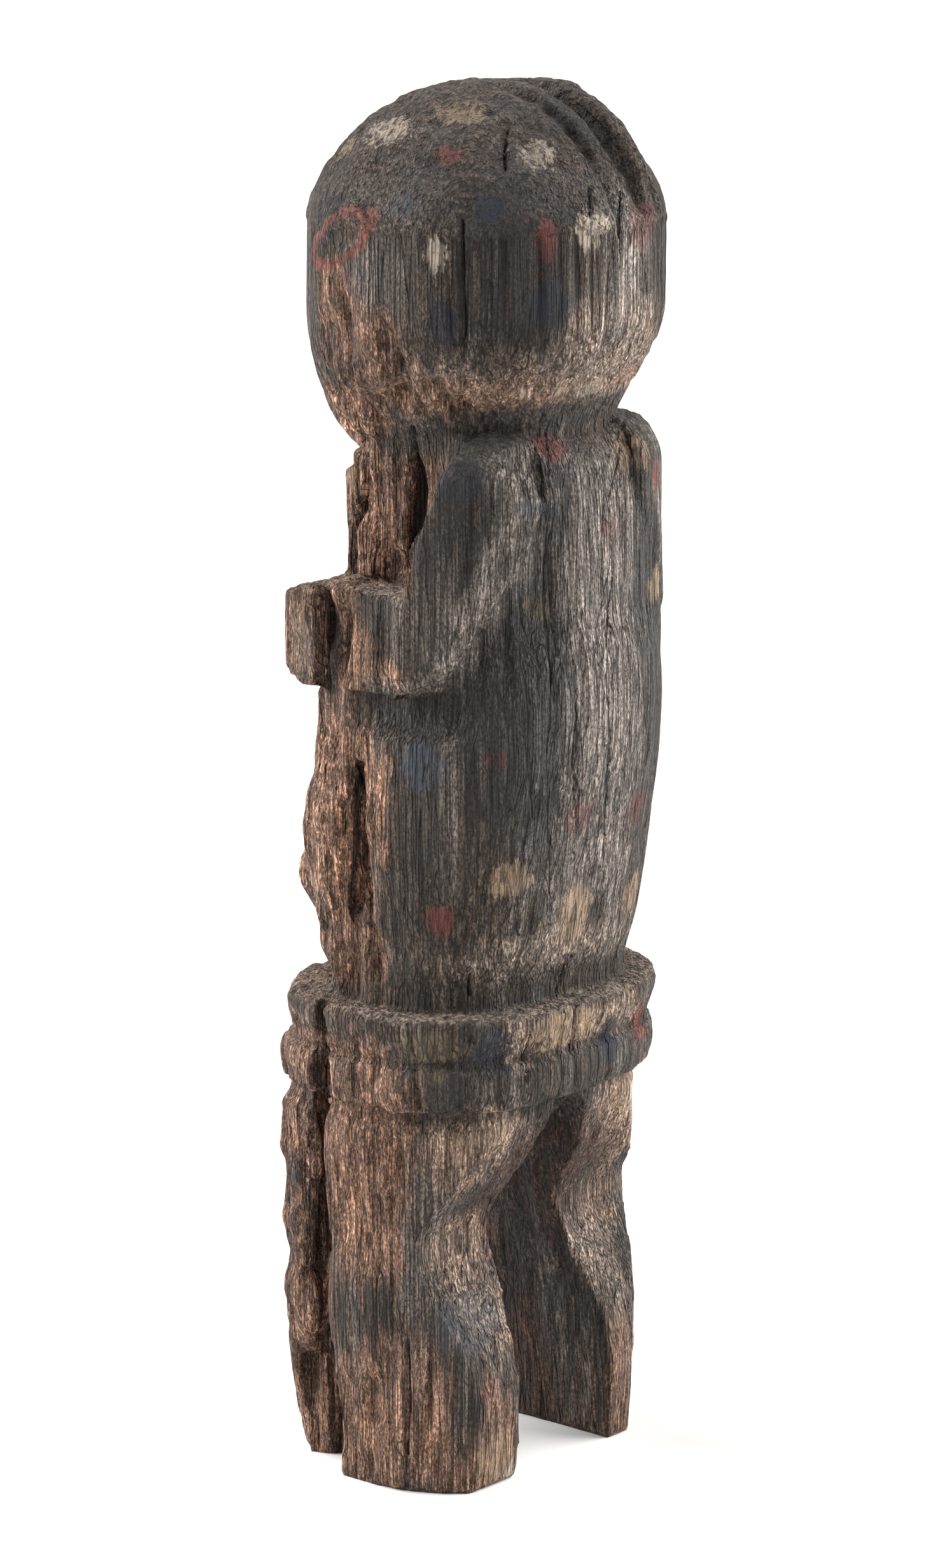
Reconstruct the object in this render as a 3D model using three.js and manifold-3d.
// An ancestor figure carved from one log of wood, standing on its own two legs.
// Millimetres, +Z up. The figure looks along -Y and its left side is +X.
// The origin is the middle of its footprint, on the floor.
import * as THREE from 'three';
import * as BufferGeometryUtils from 'three/addons/utils/BufferGeometryUtils.js';
import Module from 'manifold-3d';

const wasm = await Module();
wasm.setup();

// Driving dimension. The carving keeps its proportions as six-hundredths of the height.
const HEIGHT = 600;
const share = (parts) => (HEIGHT * parts) / 600;

// Fineness of the round stretches.
const SIDES = 48;
const ARC_STEPS = 10;
const BEAD_SIDES = 18;

// Points that a cut leaves closer than this along a facet's edge are drawn into one.
const WELD_LENGTH = share(0.1);

// Levels above the floor, from the feet up.
const LEVEL = {
  forearmFoot: share(346),
  forearmTop: share(392),
  chestTop: share(436),
  shoulder: share(458),
  chin: share(446),
  domeFoot: share(543),
  crown: HEIGHT,
};

// The log that the shoulders and arms still follow, and its squareness in plan.
const LOG = { halfWidth: share(80), back: share(70), front: share(72), squareness: 2.5 };

const HEAD = {
  middle: share(5.5),
  halfWidth: share(76),
  back: share(75.5),
  front: share(72),
  squareness: 2.1,
  domeFullness: 1.58,
};

const CHEST = { halfWidth: share(51), front: share(29) };

const HAND = { back: share(22), depth: share(19) };

// The hollow cut at the face, under the brow.
const FACE_PLANE = HEAD.middle - HEAD.front + share(6);

// Solids and their joins.
function toSolid(geometry) {
  geometry.deleteAttribute('normal');
  geometry.deleteAttribute('uv');
  const merged = BufferGeometryUtils.mergeVertices(geometry, share(0.001));
  const mesh = new wasm.Mesh({
    numProp: 3,
    vertProperties: new Float32Array(merged.attributes.position.array),
    triVerts: new Uint32Array(merged.index.array),
  });
  return new wasm.Manifold(mesh);
}

function toGeometry(solid) {
  const { vertProperties, triVerts } = solid.getMesh();
  const geometry = new THREE.BufferGeometry();
  geometry.setAttribute('position', new THREE.BufferAttribute(vertProperties, 3));
  geometry.setIndex(weldedFacets(geometry.attributes.position, triVerts));
  return geometry;
}

// The facets with every short edge drawn in to one of its ends, less those that this flattens.
function weldedFacets(points, corners) {
  const standsFor = Array.from({ length: points.count }, (_, index) => index);
  const settled = (index) => (standsFor[index] === index ? index : settled(standsFor[index]));
  const from = new THREE.Vector3();
  const to = new THREE.Vector3();
  const facets = [];
  for (let i = 0; i < corners.length; i += 3) {
    facets.push([corners[i], corners[i + 1], corners[i + 2]]);
  }
  for (const [a, b, c] of facets) {
    for (const [start, end] of [[a, b], [b, c], [c, a]]) {
      from.fromBufferAttribute(points, start);
      to.fromBufferAttribute(points, end);
      if (from.distanceTo(to) < WELD_LENGTH) {
        standsFor[settled(end)] = settled(start);
      }
    }
  }
  return facets
    .map((facet) => facet.map(settled))
    .filter(([a, b, c]) => a !== b && b !== c && c !== a)
    .flat();
}

// A closed skin over rings of equally many points. The two end rings are flat, and flat(point)
// gives a point's place in their plane, seen from the side of the last ring.
function skin(rings, flat) {
  const outline = rings[0].map(flat);
  if (THREE.ShapeUtils.isClockWise(outline)) {
    outline.reverse();
    rings.forEach((ring) => ring.reverse());
  }
  const count = outline.length;
  const top = (rings.length - 1) * count;
  const faces = [];
  for (let low = 0; low < top; low += count) {
    for (let i = 0; i < count; i += 1) {
      const j = (i + 1) % count;
      faces.push(low + i, low + j, low + count + j);
      faces.push(low + i, low + count + j, low + count + i);
    }
  }
  for (const [a, b, c] of THREE.ShapeUtils.triangulateShape(outline, [])) {
    faces.push(a, c, b);
    faces.push(top + a, top + b, top + c);
  }
  const geometry = new THREE.BufferGeometry().setFromPoints(rings.flat());
  geometry.setIndex(faces);
  return toSolid(geometry);
}

const fromAbove = ({ x, y }) => new THREE.Vector2(x, y);
const fromLeft = ({ y, z }) => new THREE.Vector2(y, z);
const fromFront = ({ x, z }) => new THREE.Vector2(x, z);

// A level ring in plan: a rounded oblong with its own depth and squareness behind and in front.
function planRing(level, { halfWidth, back, front, squareness, squareBehind = squareness, middle = 0 }) {
  const ring = [];
  for (let i = 0; i < SIDES; i += 1) {
    const turn = (2 * Math.PI * i) / SIDES;
    const behind = Math.sin(turn) > 0;
    const power = 2 / (behind ? squareBehind : squareness);
    const across = Math.sign(Math.cos(turn)) * Math.abs(Math.cos(turn)) ** power;
    const along = Math.sign(Math.sin(turn)) * Math.abs(Math.sin(turn)) ** power;
    const depth = behind ? back : front;
    ring.push(new THREE.Vector3(across * halfWidth, middle + along * depth, level));
  }
  return ring;
}

// A body lofted through stations of height, half width, depth behind and depth in front.
function lofted(stations, squareness, squareBehind = squareness) {
  const rings = stations.map(([level, halfWidth, back, front]) => (
    planRing(level, { halfWidth, back, front, squareness, squareBehind })
  ));
  return skin(rings, fromAbove);
}

const inShares = (rows) => rows.map((row) => row.map(share));

// A cutter or bar drawn in side view, as depth and height, and run across from one x to another.
// A flare above 1 makes the outline grow towards the far end, about its own middle.
function acrossBar(outline, fromX, toX, flare = 1) {
  const middle = outline.reduce(([y, z], [py, pz]) => (
    [y + py / outline.length, z + pz / outline.length]
  ), [0, 0]);
  const ringAt = (x, grow) => outline.map(([y, z]) => new THREE.Vector3(
    x,
    middle[0] + (y - middle[0]) * grow,
    middle[1] + (z - middle[1]) * grow,
  ));
  const ends = [ringAt(fromX, 1), ringAt(toX, flare)];
  return skin(fromX < toX ? ends : ends.reverse(), fromLeft);
}

// A cutter drawn in front view, as x and height, and run through the depth from behind.
function throughSlot(outline, behindY, frontY) {
  const ringAt = (y) => outline.map(([x, z]) => new THREE.Vector3(x, y, z));
  return skin([ringAt(behindY), ringAt(frontY)], fromFront);
}

// A cutter drawn in plan at two or more levels.
function uprightCut(levels) {
  const rings = levels.map(([level, outline]) => (
    outline.map(([x, y]) => new THREE.Vector3(x, y, level))
  ));
  return skin(rings, fromAbove);
}

function ellipsoid(halves, at, tilt = 0, turn = 0) {
  const geometry = new THREE.SphereGeometry(1, BEAD_SIDES, BEAD_SIDES / 2);
  geometry.scale(...halves);
  geometry.rotateX(tilt);
  geometry.rotateZ(turn);
  geometry.translate(...at);
  return toSolid(geometry);
}

const union = (solids) => solids.reduce((whole, solid) => whole.add(solid));
const carve = (solid, cutters) => cutters.reduce((left, cutter) => left.subtract(cutter), solid);

// Trunk: a rounded column, hollowed at the chest, full at the belly and drawn in at the belt.
function trunk() {
  const stations = inShares([
    [200, 69, 53, 43],
    [222, 69, 54, 44],
    [239, 72, 60, 55],
    [256, 74, 63, 61],
    [276, 76, 66, 63],
    [295, 76, 69, 58],
    [318, 75, 73, 52],
    [340, 74, 75, 49],
    [362, 73.5, 74, 47],
    [385, 73, 70, 45],
    [425, 72.5, 68, 40],
    [442, 72, 66, 34],
    [450, 69, 63, 30],
    [455, 64, 58, 27],
    [459, 56, 53, 24],
  ]);
  const reach = 2 * LOG.halfWidth;
  const sideCut = [
    [-reach, LEVEL.forearmTop],
    [share(27), LEVEL.forearmTop],
    [share(38), share(425)],
    [share(42), share(480)],
    [-reach, share(480)],
  ];
  const frontCut = [
    [-CHEST.front, share(384)],
    [-CHEST.front, LEVEL.chestTop],
    [-share(14), share(452)],
    [-share(14), share(480)],
    [-reach, share(480)],
    [-reach, share(384)],
  ];
  return carve(lofted(stations, LOG.squareness), [
    acrossBar(sideCut, CHEST.halfWidth, reach),
    acrossBar(sideCut, -CHEST.halfWidth, -reach),
    acrossBar(frontCut, -reach, reach),
  ]);
}

// Arms: one bent outline in side view, kept only where it lies inside the old face of the log.
// The outline widens towards the trunk, which leaves the bevelled rim behind and below the arm.
function arms() {
  const outline = inShares([
    [42, 461],
    [41, 456],
    [39, 437],
    [34, 421],
    [28, 407],
    [25, 396],
    [20, 390],
    [-30, 390],
    [-47, 386],
    [-47, 357],
    [-22, 350],
    [18, 349],
    [31, 354],
    [39, 358],
    [45, 366],
    [51, 379],
    [56, 393],
    [60, 407],
    [64, 425],
    [67, 440],
    [67, 461],
  ]);
  const { halfWidth, back, front, squareness } = LOG;
  const face = lofted([
    [LEVEL.forearmFoot - share(16), halfWidth, back, front],
    [LEVEL.shoulder - share(16), halfWidth, back, front],
    [LEVEL.shoulder - share(8), halfWidth - share(3), back - share(3), front],
    [LEVEL.shoulder - share(3), halfWidth - share(8), back - share(8), front],
    [LEVEL.shoulder + share(1), halfWidth - share(17), back - share(14), front],
  ], squareness);
  const inside = share(28);
  const outside = share(96);
  const flare = 1.14;
  const left = acrossBar(outline, outside, inside, flare);
  const right = acrossBar(outline, -outside, -inside, flare);
  const scoop = [
    [-HAND.back, LEVEL.forearmFoot - share(20)],
    [share(20), LEVEL.forearmFoot - share(20)],
    [share(21), LEVEL.forearmTop + share(12)],
    [-HAND.back, LEVEL.forearmTop + share(12)],
  ];
  const scoopFloor = LOG.halfWidth - share(3) - HAND.depth;
  const overHand = [
    [-share(60), LEVEL.forearmTop - share(2)],
    [share(26), LEVEL.forearmTop - share(1)],
    [share(26), LEVEL.forearmTop + share(12)],
    [-share(60), LEVEL.forearmTop + share(12)],
  ];
  return carve(union([left, right]).intersect(face), [
    acrossBar(scoop, scoopFloor, outside),
    acrossBar(scoop, -scoopFloor, -outside),
    acrossBar(overHand, CHEST.halfWidth, outside),
    acrossBar(overHand, -CHEST.halfWidth, -outside),
  ]);
}

// Head: a low dome on a short drum, undercut to the nape behind and carried down to the chin.
function head() {
  const { middle, halfWidth, back, front, squareness } = HEAD;
  const rings = [];
  const below = inShares([
    [438, 44, 48, 30],
    [446, 46, 49, 54],
    [450, 49, 50, 63],
    [456, 53, 52, 68],
    [464, 58, 54, 71],
    [477, 65, 62, 72],
    [490, 72, 70, 72],
    [503, 75, 75, 72],
    [520, 76, 75.5, 72],
  ]);
  for (const [level, wide, behind, ahead] of below) {
    rings.push(planRing(level, { halfWidth: wide, back: behind, front: ahead, squareness, middle }));
  }
  const rise = LEVEL.crown - LEVEL.domeFoot;
  for (let i = 0; i <= ARC_STEPS; i += 1) {
    const climb = Math.sin((Math.PI / 2) * (i / (ARC_STEPS + 0.6)));
    const shrink = Math.sqrt(1 - climb ** HEAD.domeFullness);
    rings.push(planRing(LEVEL.domeFoot + rise * climb, {
      halfWidth: halfWidth * shrink, back: back * shrink, front: front * shrink, squareness, middle,
    }));
  }
  return skin(rings, fromAbove);
}

// Crest: two low ridges that run from the crown back over the dome, with a worn trough between.
function crest() {
  const { middle, back, domeFullness } = HEAD;
  const rise = LEVEL.crown - LEVEL.domeFoot;
  const ridges = [];
  for (const [x, spread, lift] of inShares([[-3, 6, 3], [-21, 6, 3.5]])) {
    const top = [];
    const under = [];
    for (let i = 0; i <= ARC_STEPS; i += 1) {
      const along = i / ARC_STEPS;
      const climb = Math.sin((Math.PI / 2) * (0.97 - 0.75 * along));
      const reach = back * Math.sqrt(1 - climb ** domeFullness);
      const fade = lift * Math.min(1, 3 * along, 3 * (1 - along));
      const slope = reach / back;
      const level = LEVEL.domeFoot + rise * climb;
      top.push([middle + reach + fade * slope, level + fade * climb - share(0.6)]);
      under.push([middle + reach * 0.8, level - share(14)]);
    }
    ridges.push(acrossBar([...top, ...under.reverse()], x - spread, x + spread));
  }
  return union(ridges);
}

// Ears: a slanted raised oval laid on each side of the head, its higher end to the back.
function ears() {
  const halves = inShares([[6, 24, 10.5]])[0];
  const place = { out: share(70.5), ahead: share(13), level: share(539) };
  const slope = 0.5;
  const toe = 0.3;
  return union([1, -1].map((side) => (
    ellipsoid(halves, [side * place.out, -place.ahead, place.level], slope, -side * toe)
  )));
}

// Face: a calm one of common proportions, in low relief on a plane cut back under the brow.
// The eyes lie at half the height of the head.
function face() {
  const tall = LEVEL.crown - LEVEL.chin;
  const eyeLevel = LEVEL.chin + tall / 2;
  const browLevel = eyeLevel + tall * 0.1;
  const noseFoot = (browLevel + LEVEL.chin) / 2;
  const mouthLevel = noseFoot - (noseFoot - LEVEL.chin) / 3;
  const eyeWidth = (2 * HEAD.halfWidth) / 5.6;
  const ahead = FACE_PLANE - share(60);
  const cut = acrossBar([
    [ahead, LEVEL.chin - share(20)],
    [FACE_PLANE + share(2), LEVEL.chin - share(20)],
    [FACE_PLANE, mouthLevel],
    [FACE_PLANE + share(1), browLevel - share(4)],
    [FACE_PLANE - share(8), browLevel + share(3)],
    [ahead, browLevel + share(3)],
  ], -HEAD.halfWidth, HEAD.halfWidth);
  const raised = [];
  for (const side of [1, -1]) {
    const x = side * eyeWidth * 0.95;
    raised.push(ellipsoid([eyeWidth * 0.48, share(5), eyeWidth * 0.27], [x, FACE_PLANE + share(2), eyeLevel]));
  }
  const wing = eyeWidth * 0.46;
  const bridge = eyeWidth * 0.2;
  const nosePoint = (x, out, z) => new THREE.Vector3(x, FACE_PLANE - share(out), z);
  raised.push(skin([
    [
      nosePoint(-wing, -6, noseFoot), nosePoint(wing, -6, noseFoot),
      nosePoint(bridge, -6, browLevel + share(2)), nosePoint(-bridge, -6, browLevel + share(2)),
    ],
    [
      nosePoint(-wing * 0.9, 3, noseFoot), nosePoint(wing * 0.9, 3, noseFoot),
      nosePoint(bridge * 0.9, 3, browLevel), nosePoint(-bridge * 0.9, 3, browLevel),
    ],
    [
      nosePoint(-wing * 0.4, 13, noseFoot + share(4)), nosePoint(wing * 0.4, 13, noseFoot + share(4)),
      nosePoint(bridge * 0.5, 5, browLevel - share(1)), nosePoint(-bridge * 0.5, 5, browLevel - share(1)),
    ],
  ], fromFront));
  for (const [rise, thick] of inShares([[2.9, 3.4], [-3.1, 3.8]])) {
    raised.push(ellipsoid([eyeWidth * 0.8, share(5.5), thick], [0, FACE_PLANE + share(1), mouthLevel + rise]));
  }
  raised.push(ellipsoid([share(19), share(8), share(10)], [0, FACE_PLANE + share(4), LEVEL.chin + share(10)]));
  return { cut, raised };
}

// Belt: a disc in two bands, a rim above and a fuller band below, with a shallow waist between.
function belt() {
  return lofted(inShares([
    [172, 79, 61, 68],
    [175, 81, 63, 71],
    [183, 82.5, 64, 72],
    [190, 81.5, 63.5, 71],
    [194, 79, 61, 66.5],
    [198, 79, 62, 65],
    [203, 81.5, 65, 66.5],
    [210, 82, 65.5, 67],
    [213, 80, 63, 64],
  ]), 2.65);
}

// Legs: the old log below the belt, cut back behind to the hollow of the knees, and split apart.
function legs() {
  const log = lofted(inShares([
    [0, 72, 64, 60],
    [25, 74, 65, 64],
    [75, 77, 64, 68],
    [110, 79, 62, 70],
    [140, 79, 59, 70],
    [176, 78, 62, 68],
  ]), 2.8, 2.05);
  const beyond = 2 * LOG.halfWidth;
  const behind = [
    ...inShares([
      [43, -5],
      [46, 18],
      [47, 38],
      [43, 62],
      [36, 80],
      [29, 96],
      [26, 108],
      [28, 118],
      [34, 128],
      [42, 140],
      [49, 156],
      [54, 168],
      [56, 175],
    ]),
    [beyond, share(175)],
    [beyond, share(-5)],
  ];
  const gap = inShares([
    [-40, -5],
    [-38.5, 20],
    [-34, 62],
    [-28, 92],
    [-23, 112],
    [-20, 132],
    [-17, 150],
    [-12, 164],
    [-3, 170],
    [6, 164],
    [13, 152],
    [19, 136],
    [22, 120],
    [22.5, 104],
    [23, 78],
    [24, 40],
    [24.5, -5],
  ]);
  return carve(log, [
    acrossBar(behind.reverse(), -beyond, beyond),
    throughSlot(gap, beyond, -beyond),
  ]);
}

// Fissures: the long splits and losses at the front of the left leg, the belt and the belly.
function fissures() {
  const wedge = (mouthFront, mouthBack, rootX, rootY) => inShares([
    [100, mouthBack], [rootX, rootY + 2.5], [rootX, rootY - 2.5], [100, mouthFront],
  ]);
  const lowerLoss = inShares([
    [100, -8], [71, -14], [66, -17], [47, -25], [47, -31], [56, -38], [60, -50], [100, -64],
  ]);
  const narrowed = inShares([
    [100, -10], [76, -17], [70, -19], [50, -25], [50, -28], [68, -34], [76, -38], [100, -40],
  ]);
  const legSplit = uprightCut([
    [share(-5), lowerLoss],
    [share(46), lowerLoss],
    [share(64), narrowed],
    [share(92), narrowed],
  ]);
  const upperSplit = uprightCut([
    [share(85), wedge(-38, -16, 50, -26)],
    [share(120), wedge(-36, -15, 47, -26)],
    [share(158), wedge(-32, -16, 55, -24)],
    [share(173.9), wedge(-26, -18, 70, -22)],
  ]);
  const beltNotch = uprightCut([
    [share(170), wedge(-27, -8, 66, -18)],
    [share(190), wedge(-25, -9, 68, -17)],
    [share(196), wedge(-23, -12, 73, -18)],
    [share(216), wedge(-24, -12, 72, -18)],
  ]);
  const bellySplit = uprightCut([
    [share(247), wedge(-9, -1, 73, -5)],
    [share(262), wedge(-15, 6, 60, -3)],
    [share(298), wedge(-13, 8, 60, -1)],
    [share(322), wedge(-6, 4, 73, 0)],
  ]);
  return [legSplit, upperSplit, beltNotch, bellySplit];
}

// The carving is one piece of wood, set down with the middle of its footprint on the origin.
function figure() {
  const { cut, raised } = face();
  const skull = union([head().subtract(cut), crest(), ears(), ...raised]);
  const body = union([trunk(), arms(), belt(), legs()]);
  const carved = carve(union([skull, body]), fissures());
  const geometry = toGeometry(carved);
  geometry.computeBoundingBox();
  const middle = geometry.boundingBox.getCenter(new THREE.Vector3());
  geometry.translate(-middle.x, -middle.y, -geometry.boundingBox.min.z);
  geometry.computeVertexNormals();
  return geometry;
}

// Old dark hardwood, dull and dry.
const wood = new THREE.MeshStandardMaterial({ color: 0x4a4039, roughness: 0.9, metalness: 0 });

const group = new THREE.Group();
const piece = new THREE.Mesh(figure(), wood);
piece.name = 'figure';
group.add(piece);

export default group;
